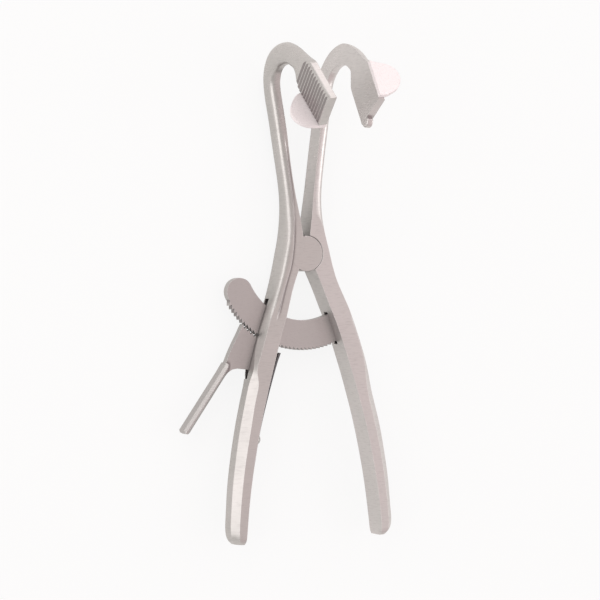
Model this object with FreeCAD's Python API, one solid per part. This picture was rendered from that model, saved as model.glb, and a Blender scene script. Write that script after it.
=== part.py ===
import FreeCAD, Part
import math
import os

from FreeCAD import Vector as V

os.makedirs("parts", exist_ok=True)

# Self-retaining mouth gag: two levers that don't cross, joined by a lap joint. Squeezing the
# handles spreads the jaws, and a toothed arc bar with a sprung pawl holds them open.
#
# Frame, in mm: X to the right arm, Y along the length with the jaws at the top, Z out of the
# front face. The origin is on the pivot axis, in the flat back of the joint. Each arm is drawn
# in its closed pose, with the inner face of the stem beside the plane X = 0, and then turned
# about Z into the half-open pose of the parts.

# Pose of the parts: each arm is turned this far from closed.
REST_TURN = 8.3

# Arm: inner face and section sizes.
STEM_GAP = 0.4              # inner face of the stem to the mid-plane when closed
STEM_DEPTH = 8.3            # front to back
STEM_THICK = 4.1            # inner face to the crown of the outer side
JOINT_DEPTH = 10.0

# Hook and jaw, drawn in a plane beside the mid-plane: the stem turns forward round one centre
# and down round a second one, a short run in front of it.
HOOK_Y = 62.6
HOOK_Z = 18.2
HOOK_RUN = 3.3
HOOK_INNER_R = 9.2
JAW_ANGLE = 40.0            # direction of the normal of the jaw's upper edge, from +Z to +Y
JAW_LENGTH = 24.5           # straight part, from the end of the hook's arc to the tip
JAW_WIDTH = 14.4
JAW_AXIS = 4.35             # middle of the jaw's width, above the inner side of the hook
LEFT_JAW_THICK = 3.6
RIGHT_JAW_THICK = 2.8

# Crosswise grooves on the outer face of each jaw.
GROOVE_COUNT = 12
GROOVE_PITCH = 1.7
GROOVE_WIDTH = 1.36
GROOVE_DEPTH = 0.5
GROOVE_FIRST = 4.4          # distance of the first groove along the jaw

# Bite flanges: plates brazed to one edge face of each jaw.
FLANGE_THICK = 1.5
SEAM_CORNER = (0.4, 0.4, 0.0)       # outer corner of the jaw at the flange
FREE_CORNER = (1.5, 2.3, 1.0)       # and at the jaw's other edge

# Rounded ear at the lower corner of the right jaw's tip.
EAR_R = 2.2
EAR_STEP = 0.06             # the ear is this much thinner than the jaw on each face
EAR_ROUND = 0.7

# Lap joint: the left arm's disc lies in front of the right arm's disc.
DISC_R = 6.8
DISC_CLEAR = 0.08           # radial, disc to recess
LAP_Z = 5.0
LAP_CLEAR = 0.05            # each disc stands this far from the lap plane
PIVOT_R = 2.2
RUN_CLEAR = 0.04            # radial, running fits on pins
PIVOT_COVER = 1.2           # metal left in front of the blind pivot pin
PIN_TOP = 10.6              # front end of the other blind pins
RIM_BREAK = 0.2             # broken edges of the front disc and of its recess
RIB_FILLET = 0.9            # at the foot of the rib beside the flat land

# Ratchet bar: flat arc about the pivot axis, teeth on its outer edge.
BAR_INNER_R = 25.4
TOOTH_TIP_R = 36.8
TOOTH_HEIGHT = 1.0
TOOTH_STEP = 2.63           # degrees
BAR_LEFT = 62.0             # degrees from -Y toward the left, centre of the rounded end
BAR_RIGHT = -33.0
BAR_THICK = 3.0
BAR_Z = 5.8                 # middle of the bar's thickness
BAR_RIVET_R = 1.5
BAR_RIVET_AT = -28.5        # degrees
SEAT_MARGIN = 0.8           # the right arm's slot is this much longer than the bar, each way

# Slot in the left arm, for the bar and the pawl.
SLOT_ABOVE_BAR = 6.4        # the slot begins this far above the bar's inner edge
SLOT_BELOW_PAWL = 12.8      # and ends this far below the pawl's pin
SLOT_CLEAR = 0.12           # each side of the bar and pawl

# Pawl.
PAWL_AT = 26.2              # degrees, pin of the pawl
PAWL_OUT = 4.0              # pin beyond the bar's tooth tips
PAWL_PIN_R = 1.1
PAWL_GAP = 0.12             # tooth tips of pawl and bar when the pawl is just clear
PAWL_TEETH = 5
PAWL_FIRST = 44.9           # degrees, left tooth
TAIL_DEPTH = 5.4
TAIL_BEVEL = 1.05           # on the long front edges of the tail

# Leaf spring, its screw and its peg, on the inner face of the left handle.
SPRING_THICK = 0.7
SPRING_WIDTH = 6.6
SPRING_Z = 8.7
SCREW_AT = 69.5             # distance below the pivot
PEG_AT = 75.0
SCREW_R = 1.2
SCREW_HEAD_R = 2.3
SCREW_HEAD_H = 2.0
PEG_R = 0.8
PEG_HEAD_R = 1.5
PEG_HEAD_H = 1.3
STUD_CLEAR = 0.04           # studs in the spring's holes, and heads on the spring

# Stations of the arms from the handle's end to the top of the stem, in the right arm's closed
# pose: X and Y of the inner face, middle of the depth, depth, thickness. Then the outer corners
# of each arm: reach in from the outer side, reach in from the front and back, and roundness, 0
# for a flat bevel and 1 for an arc.
HANDLE = [
    (44.25, -103.5, 7.6, 6.8, 3.0),
    (44.05, -102.5, 7.8, 8.8, 4.2),
    (43.60, -100.2, 8.0, 10.2, 5.4),
    (42.35, -94.8, 8.0, 10.6, 5.9),
    (39.60, -84.5, 8.0, 10.8, 6.3),
    (35.90, -73.0, 8.0, 10.8, 6.7),
    (31.80, -61.8, 8.0, 10.6, 7.0),
    (27.10, -50.6, 7.9, 10.3, 7.2),
    (25.30, -46.5, 7.85, 10.2, 7.25),
    (23.40, -42.4, 7.8, 10.1, 7.3),
    (21.60, -38.6, 7.7, 10.0, 7.35),
    (16.40, -27.8, 7.3, 9.9, 7.4),
    (11.30, -18.2, 6.8, 10.3, 7.2),
    (7.60, -11.0, 6.2, 11.2, 7.0),
    (4.30, -5.4, 5.9, 11.6, 7.8),
    (1.90, -0.6, 5.85, 11.6, 8.2),
    (0.75, 4.0, 5.75, 11.4, 7.8),
    (STEM_GAP, 9.0, 5.5, 10.8, 6.8),
    (STEM_GAP, 15.0, 5.15, 9.6, 5.5),
    (STEM_GAP, 22.0, 5.0, 8.6, 4.5),
    (STEM_GAP, 32.0, 4.9, STEM_DEPTH, STEM_THICK),
    (STEM_GAP, 43.0, 4.9, STEM_DEPTH, STEM_THICK),
    (STEM_GAP, 54.0, 5.0, STEM_DEPTH, STEM_THICK),
]
STEM_CROWN = (3.6, 3.3, 1.0)
HANDLE_END_CORNERS = [(1.2, 1.6, 0.0), (1.8, 2.4, 0.0), (2.4, 2.8, 0.0), (2.6, 2.9, 0.0),
                      (2.8, 2.9, 0.0), (3.0, 2.9, 0.0), (3.2, 2.9, 0.0), (3.0, 2.8, 0.0)]
JOINT_CORNERS = [(2.4, 3.4, 1.0), (2.6, 3.6, 1.0), (2.6, 3.6, 1.0), (2.6, 3.6, 1.0),
                 (2.8, 3.7, 1.0), (3.4, 3.7, 1.0), (3.6, 3.4, 1.0)] + 3 * [STEM_CROWN]
RIGHT_CORNERS = HANDLE_END_CORNERS + [(2.3, 2.0, 0.0), (1.3, 1.2, 0.0), (0.8, 0.8, 0.0),
                                      (0.7, 0.7, 0.3), (1.2, 1.2, 0.9)] + JOINT_CORNERS
LEFT_CORNERS = HANDLE_END_CORNERS + [(2.7, 2.5, 0.0), (0.9, 1.6, 0.0), (0.9, 3.0, 0.0),
                                     (1.2, 3.6, 0.2), (1.7, 3.4, 0.8)] + JOINT_CORNERS

# Stations round the hook, first about its rear centre and then about its front one: angle from
# the frontward direction, depth across the band.
HOOK_REAR = [(180.0, 8.3), (160.0, 8.2), (140.0, 8.1), (120.0, 8.1), (100.0, 8.2)]
HOOK_FRONT = [(86.0, 8.1), (72.0, 7.7), (56.0, 7.9), (JAW_ANGLE, 8.9)]

# Stations along the jaw, which fans out into a plate with parallel edges: distance, width,
# share of the hook's crown that is left.
JAW = [(2.4, 11.0, 0.45), (4.6, 13.2, 0.05), (6.0, 14.2, 0.0), (7.6, JAW_WIDTH, 0.0),
       (16.0, JAW_WIDTH, 0.0), (JAW_LENGTH, JAW_WIDTH, 0.0)]

# Outlines of the bite flanges: distance along the jaw, distance out from the inner face.
LEFT_FLANGE = [(8.0, 0.0), (8.1, 4.4), (10.9, 7.9), (14.5, 10.4), (17.7, 11.2), (20.6, 10.5),
               (22.8, 8.6), (24.1, 5.8), (JAW_LENGTH, 3.0), (JAW_LENGTH, 0.0)]
RIGHT_FLANGE = [(6.3, 0.0), (6.8, 3.3), (6.9, 7.0), (8.2, 10.0), (11.5, 11.4), (15.2, 10.8),
                (18.6, 9.0), (21.4, 5.9), (23.6, 2.6), (24.3, 0.0)]

AXIS_Z = V(0, 0, 1)


def station(origin, depth_dir, out_dir, depth, thick, near_corner, far_corner):
    """One outline of the arm as 12 poles: flat inner side, bevelled or rounded outer corners, the
    near one on the side that depth_dir points to. A corner has its reach in from the outer side,
    its reach in from the front or back, and its roundness. Even poles are corners, odd ones
    shape the side between two corners."""
    half = depth / 2
    corners = [(-half, 0), (half, 0),
               (half, thick - near_corner[0]), (half - near_corner[1], thick),
               (far_corner[1] - half, thick), (-half, thick - far_corner[0])]
    poles = []
    for index, (across, out) in enumerate(corners):
        far_across, far_out = corners[(index + 1) % len(corners)]
        mid_across = (across + far_across) / 2
        mid_out = (out + far_out) / 2
        if index in (2, 4):
            side = half if index == 2 else -half
            roundness = near_corner[2] if index == 2 else far_corner[2]
            mid_across += (side - mid_across) * roundness
            mid_out += (thick - mid_out) * roundness
        poles.append(origin + depth_dir * across + out_dir * out)
        poles.append(origin + depth_dir * mid_across + out_dir * mid_out)
    return poles


def skin(stations):
    """Solid through the stations, in order: six strips that share their long edges."""
    params = [0.0]
    for here, there in zip(stations, stations[1:]):
        params.append(params[-1] + (there[1] - here[1]).Length)
    rows = []
    for index in range(12):
        curve = Part.BSplineCurve()
        curve.interpolate(Points=[poles[index] for poles in stations], Parameters=params)
        rows.append(curve)
    knots = rows[0].getKnots()
    mults = rows[0].getMultiplicities()
    faces = []
    for index in range(0, 12, 2):
        strip = [rows[index], rows[index + 1], rows[(index + 2) % 12]]
        surface = Part.BSplineSurface()
        surface.buildFromPolesMultsKnots([row.getPoles() for row in strip], [3, 3], mults,
                                         [0.0, 1.0], knots, False, False, 2, 3)
        faces.append(surface.toShape())
    for poles in (stations[0], stations[-1]):
        edges = []
        for index in range(0, 12, 2):
            side = Part.BezierCurve()
            side.setPoles([poles[index], poles[index + 1], poles[(index + 2) % 12]])
            edges.append(side.toShape())
        faces.append(Part.Face(Part.Wire(edges)))
    shell = Part.makeShell(faces)
    shell.sewShape()
    solid = Part.makeSolid(shell)
    if solid.Volume < 0:
        solid.reverse()
    return solid


def inner_curve():
    """Inner face of the right arm, closed pose, as a curve in the plane Z = 0."""
    curve = Part.BSplineCurve()
    curve.interpolate([V(s[0], s[1], 0) for s in HANDLE])
    return curve


def polar(radius, angle, z=0.0):
    """Point on an arc about the pivot axis, angle in degrees from -Y toward the left."""
    turn = math.radians(angle)
    return V(-radius * math.sin(turn), -radius * math.cos(turn), z)


def extrude(points, z_low, z_high, smooth=False):
    """Prism along Z from a closed outline."""
    flat = [V(p[0], p[1], z_low) for p in points]
    if smooth:
        curve = Part.BSplineCurve()
        curve.interpolate(flat, PeriodicFlag=True)
        wire = Part.Wire([curve.toShape()])
    else:
        wire = Part.makePolygon(flat + [flat[0]])
    return Part.Face(wire).extrude(V(0, 0, z_high - z_low))


def cylinder(radius, z_low, z_high, x=0.0, y=0.0):
    return Part.makeCylinder(radius, z_high - z_low, V(x, y, z_low))


def through_rod(radius, x=0.0, y=0.0):
    """Cylinder along Z that runs out of both faces of the arms."""
    return cylinder(radius, -JOINT_DEPTH, 3 * JOINT_DEPTH, x, y)


def blind_rod(radius, x, y):
    """Cylinder along Z that runs out of the back and ends inside the arm."""
    return cylinder(radius, -JOINT_DEPTH, PIN_TOP, x, y)


def hook_centre(front):
    return V(STEM_GAP, HOOK_Y, HOOK_Z + (HOOK_RUN if front else 0.0))


def jaw_point(along, across, out=0.0):
    """Point on the right jaw: along it, across it from its middle line, outward."""
    normal = math.radians(JAW_ANGLE)
    n_z = math.cos(normal)
    n_y = math.sin(normal)
    reach = HOOK_INNER_R + JAW_AXIS + across
    shift = V(out, reach * n_y - along * n_z, reach * n_z + along * n_y)
    return hook_centre(True) + shift


def between(one, other, share):
    return tuple(a + (b - a) * share for a, b in zip(one, other))


def right_blank(jaw_thick, corners, stem_side_corner, top_corner):
    """Arm as a right arm in its closed pose, before its slots, recesses and grooves."""
    path = inner_curve()
    stations = []
    for (x, y, z, depth, thick), corner in zip(HANDLE, corners):
        tangent = path.tangent(path.parameter(V(x, y, 0)))[0]
        if tangent.y < 0:
            tangent = tangent * -1
        out_dir = V(tangent.y, -tangent.x, 0)
        stations.append(station(V(x, y, z), AXIS_Z, out_dir, depth, thick, corner, corner))
    out_dir = V(1, 0, 0)
    hook = [(angle, depth, False) for angle, depth in HOOK_REAR]
    hook += [(angle, depth, True) for angle, depth in HOOK_FRONT]
    for angle, depth, front in hook:
        turn = math.radians(angle)
        normal = V(0, math.sin(turn), math.cos(turn))
        centre = hook_centre(front) + normal * (HOOK_INNER_R + depth / 2)
        corner = (STEM_CROWN[0], STEM_CROWN[1] * depth / STEM_DEPTH, STEM_CROWN[2])
        stations.append(station(centre, normal * -1, out_dir, depth, STEM_THICK, corner, corner))
    turn = math.radians(JAW_ANGLE)
    normal = V(0, math.sin(turn), math.cos(turn))
    for along, width, crown_share in JAW:
        thick = jaw_thick + (STEM_THICK - jaw_thick) * crown_share
        stations.append(station(jaw_point(along, 0), normal * -1, out_dir, width, thick,
                                between(stem_side_corner, STEM_CROWN, crown_share),
                                between(top_corner, STEM_CROWN, crown_share)))
    return skin(stations)


def right_grooves(jaw_thick):
    """V-shaped prisms that cut the crosswise grooves of the right jaw. Above the V their sides
    stand upright, clear of the thicker metal at the hook."""
    cuts = []
    for index in range(GROOVE_COUNT):
        along = GROOVE_FIRST + index * GROOVE_PITCH
        outline = []
        for shift, out in ((-GROOVE_WIDTH / 2, STEM_THICK), (-GROOVE_WIDTH / 2, jaw_thick),
                           (0, jaw_thick - GROOVE_DEPTH), (GROOVE_WIDTH / 2, jaw_thick),
                           (GROOVE_WIDTH / 2, STEM_THICK)):
            outline.append(jaw_point(along + shift, -JAW_WIDTH, out))
        wire = Part.makePolygon(outline + [outline[0]])
        sweep = jaw_point(0, JAW_WIDTH * 2) - jaw_point(0, -JAW_WIDTH)
        cuts.append(Part.Face(wire).extrude(sweep))
    return Part.makeCompound(cuts)


def right_flange(outline, side):
    """Plate on one edge of the right jaw: 1 for the top edge, -1 for the edge near the stem."""
    edge = side * JAW_WIDTH / 2
    curve = Part.BSplineCurve()
    curve.interpolate([jaw_point(along, edge, out) for along, out in outline])
    last = jaw_point(outline[-1][0], edge, outline[-1][1])
    first = jaw_point(outline[0][0], edge, outline[0][1])
    wire = Part.Wire([curve.toShape(), Part.makeLine(last, first)])
    sweep = jaw_point(0, side * FLANGE_THICK) - jaw_point(0, 0)
    return Part.Face(wire).extrude(sweep)


def mirrored(shape):
    return shape.mirror(V(0, 0, 0), V(1, 0, 0))


def turned(shape, degrees):
    copy = shape.copy()
    copy.rotate(V(0, 0, 0), AXIS_Z, degrees)
    return copy


def left_inner(distance, offset=0.0):
    """Point on the left arm's inner face in the rest pose, this far below the pivot, and the
    outward normal of that face. The offset moves the point off the face."""
    path = inner_curve()
    low = path.FirstParameter
    high = path.LastParameter
    turn = math.radians(REST_TURN)
    for _ in range(40):
        middle = (low + high) / 2
        point = path.value(middle)
        y = -point.x * math.sin(turn) + point.y * math.cos(turn)
        if y < -distance:
            low = middle
        else:
            high = middle
    tangent = path.tangent(middle)[0]
    if tangent.y < 0:
        tangent = tangent * -1
    x = point.x * math.cos(turn) + point.y * math.sin(turn)
    rest_tangent = V(tangent.x * math.cos(turn) + tangent.y * math.sin(turn),
                     -tangent.x * math.sin(turn) + tangent.y * math.cos(turn), 0)
    normal = V(rest_tangent.y, rest_tangent.x, 0)
    position = V(-x, y, 0)
    return position + normal * offset, normal


# Arms.
right_closed = right_blank(RIGHT_JAW_THICK, RIGHT_CORNERS, FREE_CORNER, SEAM_CORNER)
right_closed = right_closed.cut(right_grooves(RIGHT_JAW_THICK))
ear_centre = jaw_point(JAW_LENGTH + 0.3, EAR_R - 0.1 - JAW_WIDTH / 2, EAR_STEP)
ear = Part.makeCylinder(EAR_R, RIGHT_JAW_THICK - 2 * EAR_STEP, ear_centre, V(1, 0, 0))
ear_rims = [edge for edge in ear.Edges if edge.Closed]
ear = ear.makeFillet(EAR_ROUND, ear_rims)
right_arm = turned(right_closed.fuse(ear), -REST_TURN)
left_closed = right_blank(LEFT_JAW_THICK, LEFT_CORNERS, SEAM_CORNER, FREE_CORNER)
left_closed = left_closed.cut(right_grooves(LEFT_JAW_THICK))
left_arm = turned(mirrored(left_closed), REST_TURN)

# Flat land round the joint, level with the disc's face, that runs out down the handle. On the
# right arm it reaches the outer side. On the left arm a raised rib stays along the outer side,
# and the land goes on up the stem as a narrow strip beside the crown.
land_reach = 4 * JOINT_DEPTH


def land_solid(profile):
    """Everything in front of a curve in Y and Z."""
    top_y, top_z = profile[0]
    foot_y, foot_z = profile[-1]
    curve = Part.BSplineCurve()
    curve.interpolate([V(-land_reach, y, z) for y, z in profile])
    rest = Part.makePolygon([V(-land_reach, foot_y, foot_z), V(-land_reach, foot_y, land_reach),
                             V(-land_reach, top_y, land_reach), V(-land_reach, top_y, top_z)])
    return Part.Face(Part.Wire([curve.toShape(), rest])).extrude(V(2 * land_reach, 0, 0))


land_foot = [(0, JOINT_DEPTH), (-9, JOINT_DEPTH + 0.1), (-16, 10.7), (-23, 11.75), (-31, 13.2),
             (-40, 15.0)]
right_land = land_solid([(40, JOINT_DEPTH), (20, JOINT_DEPTH), (10, JOINT_DEPTH)] + land_foot)
right_arm = right_arm.cut(right_land)
strip = [(50, 9.6), (43, 8.85), (36, 8.35), (29, 8.2), (22, 8.55), (16, 9.3), (10.5, 9.85),
         (6, JOINT_DEPTH)]
rib_edge = [(-19.5, -34.0), (-16.3, -27.5), (-13.4, -21.0), (-10.9, -14.0), (-9.2, -9.3),
            (-7.75, -5.1), (-6.7, 0.0), (-6.03, 6.0), (-5.75, 11.1), (-5.6, 17.1), (-5.7, 22.2),
            (-6.3, 28.6), (-7.0, 33.3), (-7.85, 38.5), (-8.8, 44.4), (-9.7, 49.5)]
rib_curve = Part.BSplineCurve()
rib_curve.interpolate([V(x, y, 0) for x, y in rib_edge])
rib_top = V(rib_edge[-1][0], rib_edge[-1][1], 0)
rib_foot = V(rib_edge[0][0], rib_edge[0][1], 0)
inner_top = V(land_reach / 2, rib_top.y, 0)
inner_foot = V(land_reach / 2, rib_foot.y, 0)
rib_wire = Part.Wire([rib_curve.toShape(),
                      Part.makePolygon([rib_top, inner_top, inner_foot, rib_foot])])
left_land = Part.Face(rib_wire).extrude(V(0, 0, land_reach)).common(land_solid(strip + land_foot))
foot_edges = []
for edge in left_land.Edges:
    box = edge.BoundBox
    if box.YLength > 50 and box.ZMax < 15 and box.XMax < 0:
        foot_edges.append(edge)
left_land = left_land.makeFillet(RIB_FILLET, foot_edges)
left_arm = left_arm.cut(left_land)

# Lap joint. The front disc and the rim of its recess have broken edges.
recess_front = cylinder(DISC_R + DISC_CLEAR, LAP_Z - LAP_CLEAR, 2 * JOINT_DEPTH)
recess_rim_r = DISC_R + DISC_CLEAR + RIM_BREAK
recess_rim = Part.makeCone(recess_rim_r - 2 * RIM_BREAK, recess_rim_r + 2 * RIM_BREAK,
                           4 * RIM_BREAK, V(0, 0, JOINT_DEPTH - 2 * RIM_BREAK))
recess_back = cylinder(DISC_R + DISC_CLEAR, -JOINT_DEPTH, LAP_Z + LAP_CLEAR)
disc_front = cylinder(DISC_R, LAP_Z + LAP_CLEAR, JOINT_DEPTH)
disc_rim = [edge for edge in disc_front.Edges if edge.BoundBox.ZMin > JOINT_DEPTH - 0.1]
disc_front = disc_front.makeChamfer(RIM_BREAK, disc_rim)
disc_back = cylinder(DISC_R, 0, LAP_Z - LAP_CLEAR)
right_arm = right_arm.cut(recess_front).cut(recess_rim).fuse(disc_back)
left_arm = left_arm.cut(recess_back).fuse(disc_front)
right_arm = right_arm.cut(through_rod(PIVOT_R + RUN_CLEAR))
pin_front = JOINT_DEPTH - PIVOT_COVER
left_arm = left_arm.cut(cylinder(PIVOT_R, -JOINT_DEPTH, pin_front))
joint_pin = cylinder(PIVOT_R, 0, pin_front)

# Ratchet bar.
bar_low = BAR_Z - BAR_THICK / 2
bar_high = BAR_Z + BAR_THICK / 2
bar_middle_r = (BAR_INNER_R + TOOTH_TIP_R) / 2
bar_half = (TOOTH_TIP_R - BAR_INNER_R) / 2


def bar_outline():
    """Outline of the bar: rounded left end, saw teeth on the outer arc, plain inner arc."""
    root = TOOTH_TIP_R - TOOTH_HEIGHT
    points = []
    angle = BAR_LEFT - 1.0
    while angle - TOOTH_STEP > BAR_RIGHT + 6.0:
        points.append(polar(root, angle, bar_low))
        points.append(polar(TOOTH_TIP_R, angle - 0.86 * TOOTH_STEP, bar_low))
        angle -= TOOTH_STEP
    points.append(polar(root, angle, bar_low))
    points.append(polar(root, BAR_RIGHT, bar_low))
    points.append(polar(BAR_INNER_R, BAR_RIGHT, bar_low))
    edges = [Part.makeLine(a, b) for a, b in zip(points, points[1:])]
    middle = polar(BAR_INNER_R, (BAR_LEFT + BAR_RIGHT) / 2, bar_low)
    inner_end = polar(BAR_INNER_R, BAR_LEFT, bar_low)
    edges.append(Part.Arc(points[-1], middle, inner_end).toShape())
    end_centre = polar(bar_middle_r, BAR_LEFT, bar_low)
    along = polar(1, BAR_LEFT + 90) - V(0, 0, 0)
    tip = end_centre + along * bar_half
    edges.append(Part.Arc(inner_end, tip, points[0]).toShape())
    return Part.Wire(edges)


ratchet_bar = Part.Face(bar_outline()).extrude(V(0, 0, BAR_THICK))
rivet_spot = polar(bar_middle_r, BAR_RIVET_AT)
rivet_rod = blind_rod(BAR_RIVET_R, rivet_spot.x, rivet_spot.y)
ratchet_rivet = rivet_rod.common(right_arm)
ratchet_bar = ratchet_bar.cut(rivet_rod)


def ring_part(inner, outer, start, end, z_low, z_high):
    """Flat ring sector about the pivot axis, angles in degrees from -Y toward the left."""
    disc = cylinder(outer, z_low, z_high).cut(cylinder(inner, z_low, z_high))
    reach = outer * 3
    middle = (start + end) / 2
    wedge = extrude([V(0, 0, 0), polar(reach, start), polar(reach, middle), polar(reach, end)],
                    z_low, z_high)
    return disc.common(wedge)


seat = ring_part(BAR_INNER_R - SEAT_MARGIN, TOOTH_TIP_R + SEAT_MARGIN, BAR_RIGHT - 0.1, 10.0,
                 bar_low, bar_high)
right_arm = right_arm.cut(seat).cut(rivet_rod)

# Slot through the left arm.
slot_low = bar_low - SLOT_CLEAR
slot_high = bar_high + SLOT_CLEAR
pawl_pivot = polar(TOOTH_TIP_R + PAWL_OUT, PAWL_AT)
slot_start = left_inner(BAR_INNER_R - SLOT_ABOVE_BAR, 8.0)[0]
slot_stop = left_inner(SLOT_BELOW_PAWL - pawl_pivot.y, 8.0)[0]
slot_dir = slot_stop - slot_start
across = V(slot_dir.y, -slot_dir.x, 0).normalize() * 26
if across.x > 0:
    across = across * -1
slot = extrude([slot_start, slot_stop, slot_stop + across, slot_start + across],
               slot_low, slot_high)
pawl_rod = blind_rod(PAWL_PIN_R, pawl_pivot.x, pawl_pivot.y)
pawl_pin = pawl_rod.common(left_arm)
left_arm = left_arm.cut(slot).cut(pawl_rod)

# Pawl: flat plate in the slot with teeth toward the bar, heel at the spring and thumb tail.
tip_r = TOOTH_TIP_R + PAWL_GAP
root_r = tip_r + TOOTH_HEIGHT
outline = []
angle = PAWL_FIRST
for _ in range(PAWL_TEETH):
    outline.append(polar(tip_r, angle))
    outline.append(polar(root_r, angle - 0.86 * TOOTH_STEP))
    angle -= TOOTH_STEP
outline.append(polar(tip_r, angle))
tail_lower = [(-16.2, -9.1), (-31.0, -29.4)]
tail_tip = [(-31.9, -29.9), (-33.0, -29.3), (-33.3, -28.3)]
tail_upper = [(-18.1, -7.7), (-15.4, -3.8)]
body_lower = [(0.6, 3.3), (2.4, 2.8), (3.1, 1.4), (2.5, -2.0), (2.55, -4.4), (2.0, -5.8),
              (0.0, -6.8), (-3.5, -7.1), (-7.0, -6.7), (-10.6, -6.15), (-13.0, -6.5),
              (-14.7, -7.5)]
body_upper = [(-14.0, -0.6), (-12.2, 2.9), (-10.2, 6.4), (-8.9, 8.9)]


def from_pawl_pin(points):
    return [pawl_pivot + V(x, y, 0) for x, y in points]


outline += from_pawl_pin(body_lower + tail_lower + tail_tip + tail_upper + body_upper)
pawl_plate = extrude(outline, bar_low, bar_high)
tail_outline = from_pawl_pin([(-14.9, -4.6)] + tail_lower + tail_tip + tail_upper)
tail = extrude(tail_outline, BAR_Z - TAIL_DEPTH / 2, BAR_Z + TAIL_DEPTH / 2)
tail_ridges = []
for edge in tail.Edges:
    if edge.Length > 20 and edge.BoundBox.ZMin > BAR_Z:
        tail_ridges.append(edge)
tail = tail.makeChamfer(TAIL_BEVEL, tail_ridges)
pawl_lever = pawl_plate.fuse(tail).removeSplitter()
pawl_lever = pawl_lever.cut(through_rod(PAWL_PIN_R + RUN_CLEAR, pawl_pivot.x, pawl_pivot.y))

# Leaf spring on the inner face of the left handle.
near_side = []
far_side = []
for distance, gap in ((36.9, 1.05), (41.0, 0.62), (44.5, 0.50), (50.0, 0.38), (56.0, 0.22),
                      (62.0, 0.08), (66.5, 0.02), (71.0, 0.02), (78.0, 0.02)):
    near_side.append(left_inner(distance, gap)[0])
    far_side.append(left_inner(distance, gap + SPRING_THICK)[0])
spring_low = SPRING_Z - SPRING_WIDTH / 2


def ribbon(near, far, z_low, height):
    lifted_near = [V(p.x, p.y, z_low) for p in near]
    lifted_far = [V(p.x, p.y, z_low) for p in far]
    one = Part.BSplineCurve()
    one.interpolate(lifted_near)
    two = Part.BSplineCurve()
    two.interpolate(lifted_far)
    wire = Part.Wire([one.toShape(), Part.makeLine(lifted_near[-1], lifted_far[-1]),
                      two.toShape(), Part.makeLine(lifted_far[0], lifted_near[0])])
    return Part.Face(wire).extrude(V(0, 0, height))


leaf_spring = ribbon(near_side, far_side, spring_low, SPRING_WIDTH)


def inner_stud(distance, shank_r, shank_length, head_r, head_height):
    """Round stud through the spring into the left handle, with a domed head."""
    point, normal = left_inner(distance, 0.02 + SPRING_THICK + STUD_CLEAR)
    base = V(point.x, point.y, SPRING_Z)
    foot = base - normal * shank_length
    shank = Part.makeCylinder(shank_r, shank_length, foot, normal)
    hole = Part.makeCylinder(shank_r + STUD_CLEAR, 2 * shank_length, foot, normal)
    dome_r = (head_r ** 2 + head_height ** 2) / (2 * head_height)
    ball = Part.makeSphere(dome_r, base + normal * (head_height - dome_r))
    keep = Part.makeCylinder(head_r, head_height, base, normal)
    return shank, ball.common(keep), hole


screw_shank, screw_head, screw_hole = inner_stud(SCREW_AT, SCREW_R, 5.5, SCREW_HEAD_R,
                                                 SCREW_HEAD_H)
peg_shank, peg_head, peg_hole = inner_stud(PEG_AT, PEG_R, 4.0, PEG_HEAD_R, PEG_HEAD_H)
spring_screw = screw_shank.fuse(screw_head).removeSplitter()
spring_peg = peg_shank.fuse(peg_head).removeSplitter()
leaf_spring = leaf_spring.cut(screw_hole).cut(peg_hole)
left_arm = left_arm.cut(screw_shank).cut(peg_shank)

# Bite flanges: on the stem-side edge of the left jaw and on the top edge of the right jaw.
left_flange = turned(mirrored(right_flange(LEFT_FLANGE, -1)), REST_TURN).cut(left_arm)
right_flange_plate = turned(right_flange(RIGHT_FLANGE, 1), -REST_TURN).cut(right_arm)

nodes = {
    "left_arm": left_arm.removeSplitter(),
    "right_arm": right_arm.removeSplitter(),
    "joint_pin": joint_pin,
    "ratchet_bar": ratchet_bar,
    "ratchet_rivet": ratchet_rivet,
    "pawl_lever": pawl_lever,
    "pawl_pin": pawl_pin,
    "leaf_spring": leaf_spring,
    "spring_screw": spring_screw,
    "spring_peg": spring_peg,
    "left_bite_flange": left_flange,
    "right_bite_flange": right_flange_plate,
}
for name, shape in nodes.items():
    solids = shape.Solids
    if len(solids) == 1:
        shape = solids[0]
    shape.exportStep("parts/" + name + ".step")
    box = shape.BoundBox
    print(name, len(solids), round(shape.Volume, 1), shape.isValid(),
          [round(v, 2) for v in (box.XMin, box.YMin, box.ZMin, box.XMax, box.YMax, box.ZMax)])
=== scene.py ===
# %% [markdown]
# # Mouth gag: the looks on the packed frame
# A mouth gag is a pair of steel levers that spreads the jaws and holds them open with a toothed
# bar. All its pieces are hard steel, so their shapes come ready from the packed model, which the
# first call loads as a fixed frame. What is left for this lesson is what makes steel look like
# steel: the satin finish, the brushing, the soft edges, and something for it to reflect.

# %% Load the frame
import math

import bpy
from mathutils import Matrix, Vector


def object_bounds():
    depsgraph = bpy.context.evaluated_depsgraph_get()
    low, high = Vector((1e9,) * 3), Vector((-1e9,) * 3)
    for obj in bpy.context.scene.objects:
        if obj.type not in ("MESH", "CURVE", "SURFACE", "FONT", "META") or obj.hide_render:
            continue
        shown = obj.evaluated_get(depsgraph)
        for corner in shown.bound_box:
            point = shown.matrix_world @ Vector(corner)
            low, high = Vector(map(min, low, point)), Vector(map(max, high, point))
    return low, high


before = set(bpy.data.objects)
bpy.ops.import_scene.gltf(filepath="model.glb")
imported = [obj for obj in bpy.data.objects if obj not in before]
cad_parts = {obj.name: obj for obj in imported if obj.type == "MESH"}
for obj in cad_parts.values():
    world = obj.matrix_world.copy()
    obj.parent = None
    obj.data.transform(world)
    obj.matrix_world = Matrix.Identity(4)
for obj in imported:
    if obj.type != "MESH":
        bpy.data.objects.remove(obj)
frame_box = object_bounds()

for name, node in sorted(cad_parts.items()):
    print(name, len(node.data.polygons), "faces")
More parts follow.
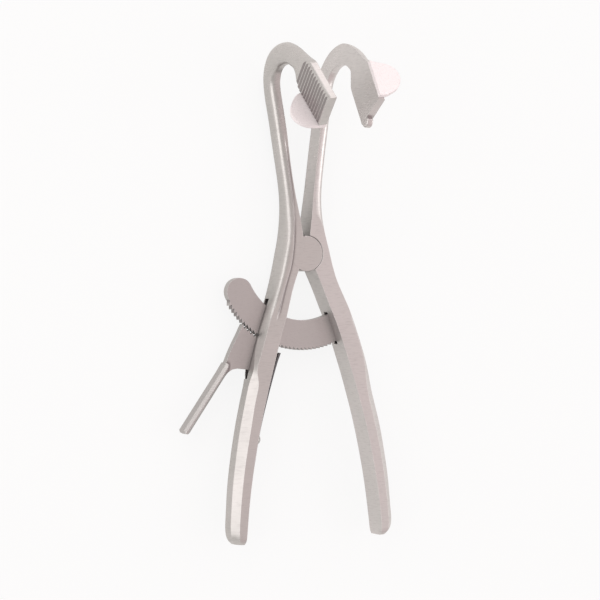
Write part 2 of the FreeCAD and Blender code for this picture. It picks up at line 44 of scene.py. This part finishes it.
print("size", [round(v * 1000, 1) for v in frame_box[1] - frame_box[0]], "mm")

# %% [markdown]
# ## Camera
# The gag lies on its back and the camera looks down on it from 0.95 m, swung 27 degrees toward
# the object's left, so that the left sides show. It is rolled by one degree, as the picture
# leans. The lens follows from the width that the picture covers at the joint, and a small shift
# puts the joint where the picture has it without turning the camera.

# %% Camera
VIEW_ANGLE = math.radians(27)
ROLL = math.radians(-1)
DISTANCE = 0.95
FIELD = 0.2281
SENSOR = 36.0
SHIFT_X = -7 / 600
SHIFT_Y = -46.5 / 600

joint_front = Vector((0, 0, 0.010))
toward_camera = Vector((-math.sin(VIEW_ANGLE), 0, math.cos(VIEW_ANGLE)))
level = Vector((math.cos(VIEW_ANGLE), 0, math.sin(VIEW_ANGLE)))
upward = Vector((0, 1, 0))
image_right = math.cos(ROLL) * level + math.sin(ROLL) * upward
image_up = -math.sin(ROLL) * level + math.cos(ROLL) * upward

camera_data = bpy.data.cameras.new("camera")
camera_data.sensor_width = SENSOR
camera_data.lens = SENSOR * DISTANCE / FIELD
camera_data.shift_x = SHIFT_X
camera_data.shift_y = SHIFT_Y
camera_data.clip_start = 0.01
camera = bpy.data.objects.new("camera", camera_data)
turn = Matrix((image_right, image_up, toward_camera)).transposed().to_4x4()
camera.matrix_world = Matrix.Translation(joint_front + toward_camera * DISTANCE) @ turn
scene = bpy.context.scene
scene.collection.objects.link(camera)
scene.camera = camera
scene.view_settings.view_transform = "Standard"
print("camera at", [round(v, 3) for v in camera.location], "lens", round(camera_data.lens, 1))

# %% [markdown]
# ## Shader maths as Python
# A material is a small formula. Wrapping a node's output in a class lets the formula be written
# as one: `0.3 + 0.1 * noise` adds its Math nodes by itself, also with the number first. One
# method makes every other kind of node: its settings are set first, because they can change
# which sockets there are, and then the sockets get a number or a link.

# %% A socket that does sums
class Shade:
    """One output in a node tree, with arithmetic on values."""

    def __init__(self, tree, socket=None):
        self.tree = tree
        self.socket = socket

    def node(self, kind, settings, sockets, output=0):
        made = self.tree.nodes.new(kind)
        for key, value in settings.items():
            if key == "stops":
                ramp = made.color_ramp
                ramp.elements.remove(ramp.elements[1])
                for index, (place, colour) in enumerate(value):
                    stop = ramp.elements[0] if index == 0 else ramp.elements.new(place)
                    stop.position = place
                    stop.color = colour
            else:
                setattr(made, key, value)
        for key, value in sockets.items():
            if isinstance(value, Shade):
                self.tree.links.new(value.socket, made.inputs[key])
            else:
                made.inputs[key].default_value = value
        return Shade(self.tree, made.outputs[output])

    def math(self, operation, first, second=0.0, clamp=False):
        settings = {"operation": operation, "use_clamp": clamp}
        return self.node("ShaderNodeMath", settings, {0: first, 1: second})

    def __add__(self, other):
        return self.math("ADD", self, other)

    def __sub__(self, other):
        return self.math("SUBTRACT", self, other)

    def __rsub__(self, other):
        return self.math("SUBTRACT", other, self)

    def __mul__(self, other):
        return self.math("MULTIPLY", self, other)

    def __truediv__(self, other):
        return self.math("DIVIDE", self, other)

    def __rtruediv__(self, other):
        return self.math("DIVIDE", other, self)

    __radd__ = __add__
    __rmul__ = __mul__

    def clamped(self):
        return self.math("ADD", self, 0.0, clamp=True)

    def vector(self, operation, other, output="Vector"):
        sockets = {0: self, 1: other}
        return self.node("ShaderNodeVectorMath", {"operation": operation}, sockets, output)

    def mixed(self, colour, factor):
        """This colour blended toward another one."""
        settings = {"data_type": "RGBA"}
        sockets = {0: factor, 6: self, 7: colour}
        return self.node("ShaderNodeMix", settings, sockets, 2)


print("operators:", [name for name in vars(Shade) if name.startswith("__")])

# %% [markdown]
# ## Painted highlight on edges and painted shade in hollows
# No real edge is sharp. The Bevel node rounds the shading normal near edges, and where that
# rounded normal leaves the true one there is an edge. There the colour is painted lighter, a
# painted highlight together with some wear from rubbing, and the metal is smoother. Two
# occlusion
# masks paint shade: a wide one in slots and between pieces, and a narrow one that sees only its
# own piece and darkens the hollow seams. Painting these places by hand would be lost when a
# piece moves, and the masks follow it.

# %% Masks for edges and hollows
EDGE_ROUND = 0.00022
EDGE_GAIN = 6.0
HOLLOW_REACH = 0.0028
CREASE_REACH = 0.0016


def colour4(red, green, blue):
    return (red, green, blue, 1.0)


def edge_mask(start, rounded):
    """1 along an edge, where the rounded normal leaves the true one."""
    true_normal = start.node("ShaderNodeNewGeometry", {}, {}, "Normal")
    agreement = rounded.vector("DOT_PRODUCT", true_normal, "Value")
    return ((1.0 - agreement) * EDGE_GAIN).clamped()


def hollow_mask(start, reach, samples, own_piece):
    """0 in the open, and more where surfaces within reach close a point in."""
    settings = {"samples": samples, "only_local": own_piece}
    return 1.0 - start.node("ShaderNodeAmbientOcclusion", settings, {"Distance": reach}, "AO")


print("edges", EDGE_ROUND, "m, hollows", HOLLOW_REACH, "m, seams", CREASE_REACH, "m")

# %% [markdown]
# ## Satin stainless steel
# The forged pieces are ground, brushed across their length and then matted, so the metal
# gives broad soft highlights with a fine grain across them. The grain is a noise whose
# coordinates are stretched: high along the brushing's normal and low along its lines. It
# feeds a bump, the colour and a little roughness. A second, broad noise tints the metal, as
# handling and heat do, and lifts the roughness in patches. Toward the hooks the roughness
# can fall, because what goes in the mouth is polished.

# %% Steel finish
GRAIN_DEPTH = 0.000012
PATCHES_PER_METRE = 55.0
LINE_COLOUR = colour4(0.36, 0.34, 0.34)
# Painted highlight with some wear: the pale colour that edges are lightened toward.
EDGE_WEAR_AND_HIGHLIGHT_COLOUR = colour4(0.86, 0.84, 0.84)
# Painted shade: the colour that hollows, slots and seams are darkened toward.
PAINTED_SHADE_COLOUR = colour4(0.23, 0.205, 0.21)
PAINTED_SHADE_MOST = 0.74
POLISH_START = 0.005
POLISH_FADE = 0.035


# One argument scales the painted shade in hollows and seams for each finish.
def steel(name, colour, tint, roughness, grain, depth=1.0, shade_gain=1.0, metal=1.0, polish=0.0):
    """Brushed steel. The grain vector says how many lines a metre lie across each axis."""
    material = bpy.data.materials.new(name)
    material.use_nodes = True
    tree = material.node_tree
    start = Shade(tree)
    place = start.node("ShaderNodeTexCoord", {}, {}, "Object")
    rounded = start.node("ShaderNodeBevel", {"samples": 6}, {"Radius": EDGE_ROUND})
    edge = edge_mask(start, rounded)
    hollow = hollow_mask(start, HOLLOW_REACH, 8, False)
    crease = hollow_mask(start, CREASE_REACH, 16, True)
    lines = start.node("ShaderNodeTexNoise", {}, {"Vector": place.vector("MULTIPLY", grain),
                                                  "Scale": 1.0, "Detail": 3.0,
                                                  "Roughness": 0.6})
    patches = start.node("ShaderNodeTexNoise", {}, {"Vector": place,
                                                    "Scale": PATCHES_PER_METRE,
                                                    "Detail": 4.0, "Roughness": 0.55})

    body = start.node("ShaderNodeMix", {"data_type": "RGBA"},
                      {0: patches, 6: colour4(*colour), 7: colour4(*tint)}, 2)
    body = body.mixed(LINE_COLOUR, ((lines - 0.5) * 1.2).clamped())
    # Painted highlight with some wear: the colour is painted lighter along edges.
    body = body.mixed(EDGE_WEAR_AND_HIGHLIGHT_COLOUR, edge * 0.5)
    # Painted shade: the two occlusion masks darken the colour where surfaces close a point in.
    painted_shade = (hollow * 1.5 + crease * 30.0 - 0.22).clamped()
    body = body.mixed(PAINTED_SHADE_COLOUR, painted_shade * (PAINTED_SHADE_MOST * shade_gain))

    along = place.vector("DOT_PRODUCT", (0.0, 1.0, 0.0), "Value")
    upper = ((along - POLISH_START) / POLISH_FADE).clamped()
    rough = roughness + (lines - 0.5) * 0.12 + (patches - 0.5) * 0.16
    rough = (rough - upper * polish - edge * 0.10 + hollow * 0.10).clamped()
    bump = start.node("ShaderNodeBump", {}, {"Height": lines, "Distance": GRAIN_DEPTH * depth,
                                             "Strength": 1.0, "Normal": rounded})

    surface = tree.nodes["Principled BSDF"]
    surface.inputs["Metallic"].default_value = metal
    tree.links.new(body.socket, surface.inputs["Base Color"])
    tree.links.new(rough.socket, surface.inputs["Roughness"])
    tree.links.new(bump.socket, surface.inputs["Normal"])
    print(name, len(tree.nodes), "nodes")
    return material


print("steel takes a colour, a tint, a roughness and a grain")

# %% [markdown]
# ## One finish for each kind of piece
# The arms are brushed across their length, which runs along Y. Their stems and hooks, which go
# in the mouth, are polished smoother than the handles, and the right arm's steel is a lighter
# copy of the left arm's, with painted light. The bar is stamped from sheet and ground along its
# length. The bite flanges are rough and read almost white: their near-white colour and low metal
# are painted light, for the bright light their faces catch. The pins are turned, and the leaf
# spring is hardened spring steel, coloured darker and a little blue.

# %% Finishes
ACROSS_ARM = (300.0, 2300.0, 300.0)

left_steel = steel("left_arm_steel", colour=(0.66, 0.63, 0.625), tint=(0.54, 0.535, 0.52),
                   roughness=0.38, grain=ACROSS_ARM, depth=1.3, polish=0.09)
# Painted light: a lighter copy of the arm steel, for the light the right arm catches.
right_steel_painted_light = steel("right_arm_steel_painted_light", colour=(0.73, 0.69, 0.69), tint=(0.63, 0.62, 0.61),
                    roughness=0.38, grain=ACROSS_ARM, depth=1.3, shade_gain=0.4, polish=0.08)
bar_steel = steel("bar_steel", colour=(0.58, 0.555, 0.55), tint=(0.50, 0.485, 0.48),
                  roughness=0.36, grain=(900.0, 6000.0, 900.0))
# Painted light: near-white colour and low metal stand in for the bright light on the flange
# faces.
flange_steel = steel("flange_steel", colour=(0.97, 0.915, 0.93), tint=(0.92, 0.87, 0.885),
                     roughness=0.55, grain=(2500.0, 2500.0, 2500.0), depth=0.6, shade_gain=0.04,
                     metal=0.15)
pin_steel = steel("pin_steel", colour=(0.62, 0.61, 0.60), tint=(0.54, 0.53, 0.52),
                  roughness=0.26, grain=(3000.0, 3000.0, 3000.0), depth=0.5)
spring_steel = steel("spring_steel", colour=(0.16, 0.16, 0.17), tint=(0.11, 0.11, 0.12),
                     roughness=0.34, grain=(5000.0, 400.0, 400.0), depth=0.7)

# %% Finishes on the pieces
finish_of = {
    "left_arm": left_steel, "right_arm": right_steel_painted_light,
    "ratchet_bar": bar_steel, "pawl_lever": bar_steel,
    "left_bite_flange": flange_steel, "right_bite_flange": flange_steel,
    "joint_pin": left_steel, "pawl_pin": pin_steel, "ratchet_rivet": pin_steel,
    "spring_screw": pin_steel, "spring_peg": pin_steel, "leaf_spring": spring_steel,
}
for name, material in finish_of.items():
    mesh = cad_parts[name].data
    mesh.materials.clear()
    mesh.materials.append(material)
    print(name, "in", material.name)

# %% [markdown]
# ## Floor
# A pale floor lies under the gag. To the camera it is close to white, and part of it stays an
# ordinary matt surface, so that it keeps the object's shadow. The steel mirrors about half of
# that white and for the rest the real, shaded floor, which darkens its low side faces.

# %% Floor
FLOOR_SIZE = 6.0
FLOOR_DROP = 0.0002
GLOW_SHARE = 0.85
MIRRORED_GLOW = 0.5

floor_mesh = bpy.data.meshes.new("floor")
half = FLOOR_SIZE / 2
floor_mesh.from_pydata([(-half, -half, 0), (half, -half, 0), (half, half, 0), (-half, half, 0)],
                       [], [(0, 1, 2, 3)])
floor = bpy.data.objects.new("floor", floor_mesh)
floor.location.z = frame_box[0].z - FLOOR_DROP
scene.collection.objects.link(floor)

floor_paint = bpy.data.materials.new("floor_paint")
floor_paint.use_nodes = True
floor_tree = floor_paint.node_tree
floor_start = Shade(floor_tree)
ray = floor_start.node("ShaderNodeLightPath", {}, {}, "Is Camera Ray")
mirror_ray = floor_start.node("ShaderNodeLightPath", {}, {}, "Is Glossy Ray")
through_ray = floor_start.node("ShaderNodeLightPath", {}, {}, "Is Transmission Ray")
seen = (ray + through_ray + mirror_ray * MIRRORED_GLOW).clamped()
matt = floor_start.node("ShaderNodeBsdfDiffuse", {}, {"Color": colour4(0.88, 0.88, 0.88)})
glow_colour = floor_start.node("ShaderNodeMix", {"data_type": "RGBA"},
                               {0: mirror_ray, 6: colour4(1, 1, 1),
                                7: colour4(1.0, 0.995, 0.95)}, 2)
glow = floor_start.node("ShaderNodeEmission", {}, {"Color": glow_colour, "Strength": 1.0})
floor_look = floor_start.node("ShaderNodeMixShader", {},
                              {0: seen * GLOW_SHARE, 1: matt, 2: glow})
floor_out = floor_tree.nodes["Material Output"]
floor_tree.links.new(floor_look.socket, floor_out.inputs["Surface"])
floor_mesh.materials.append(floor_paint)
print("floor", FLOOR_SIZE, "m")

# %% [markdown]
# ## Studio light
# Satin metal is lit by what it mirrors. A wide soft lamp on the left gives the rods their long
# white stripe, two beyond the top end whiten the bite flanges, and a weaker one on the right
# lifts the right handle. The room is a light grey, a little green on the left and a little
# pink on the right, as the walls of a room tint what steel mirrors.

# %% Lamps
LIT_POINT = Vector((0, -0.01, 0.01))


def soft_lamp(name, place, size, power, colour):
    light = bpy.data.lights.new(name, "AREA")
    light.shape = "RECTANGLE"
    light.size = size[0]
    light.size_y = size[1]
    light.energy = power
    light.color = colour
    lamp = bpy.data.objects.new(name, light)
    lamp.location = place
    aim = LIT_POINT - lamp.location
    lamp.rotation_euler = aim.to_track_quat("-Z", "Y").to_euler()
    scene.collection.objects.link(lamp)
    print(name, "at", place, power, "W")


soft_lamp("left_lamp", (-1.18, 0.05, 0.55), (1.6, 1.0), 5.2, (1.0, 0.955, 0.95))
soft_lamp("top_lamp", (0.45, 1.05, 0.42), (1.2, 0.8), 2.8, (1.0, 0.97, 0.97))
soft_lamp("crown_lamp", (-0.50, 0.95, 0.65), (0.8, 0.5), 1.6, (1.0, 0.97, 0.96))
soft_lamp("right_lamp", (0.95, -0.10, 0.50), (0.9, 0.5), 1.8, (1.0, 0.98, 0.97))

# %% Room
RIGHTWARD = (0.95, 0.0, 0.31)

world = bpy.data.worlds.new("room")
world.use_nodes = True
scene.world = world
room_tree = world.node_tree
room_start = Shade(room_tree)
direction = room_start.node("ShaderNodeTexCoord", {}, {}, "Generated")
rightward = direction.vector("DOT_PRODUCT", RIGHTWARD, "Value")
room_colour = room_start.node("ShaderNodeValToRGB",
                              {"stops": [(0.0, colour4(0.62, 0.62, 0.59)),
                                         (0.5, colour4(0.66, 0.62, 0.60)),
                                         (0.8, colour4(0.80, 0.69, 0.68)),
                                         (1.0, colour4(0.78, 0.72, 0.70))]},
                              {0: rightward * 0.5 + 0.5})
room_look = room_tree.nodes["Background"]
room_tree.links.new(room_colour.socket, room_look.inputs["Color"])
room_look.inputs["Strength"].default_value = 1.0
print("room", len(room_tree.nodes), "nodes")

# %% [markdown]
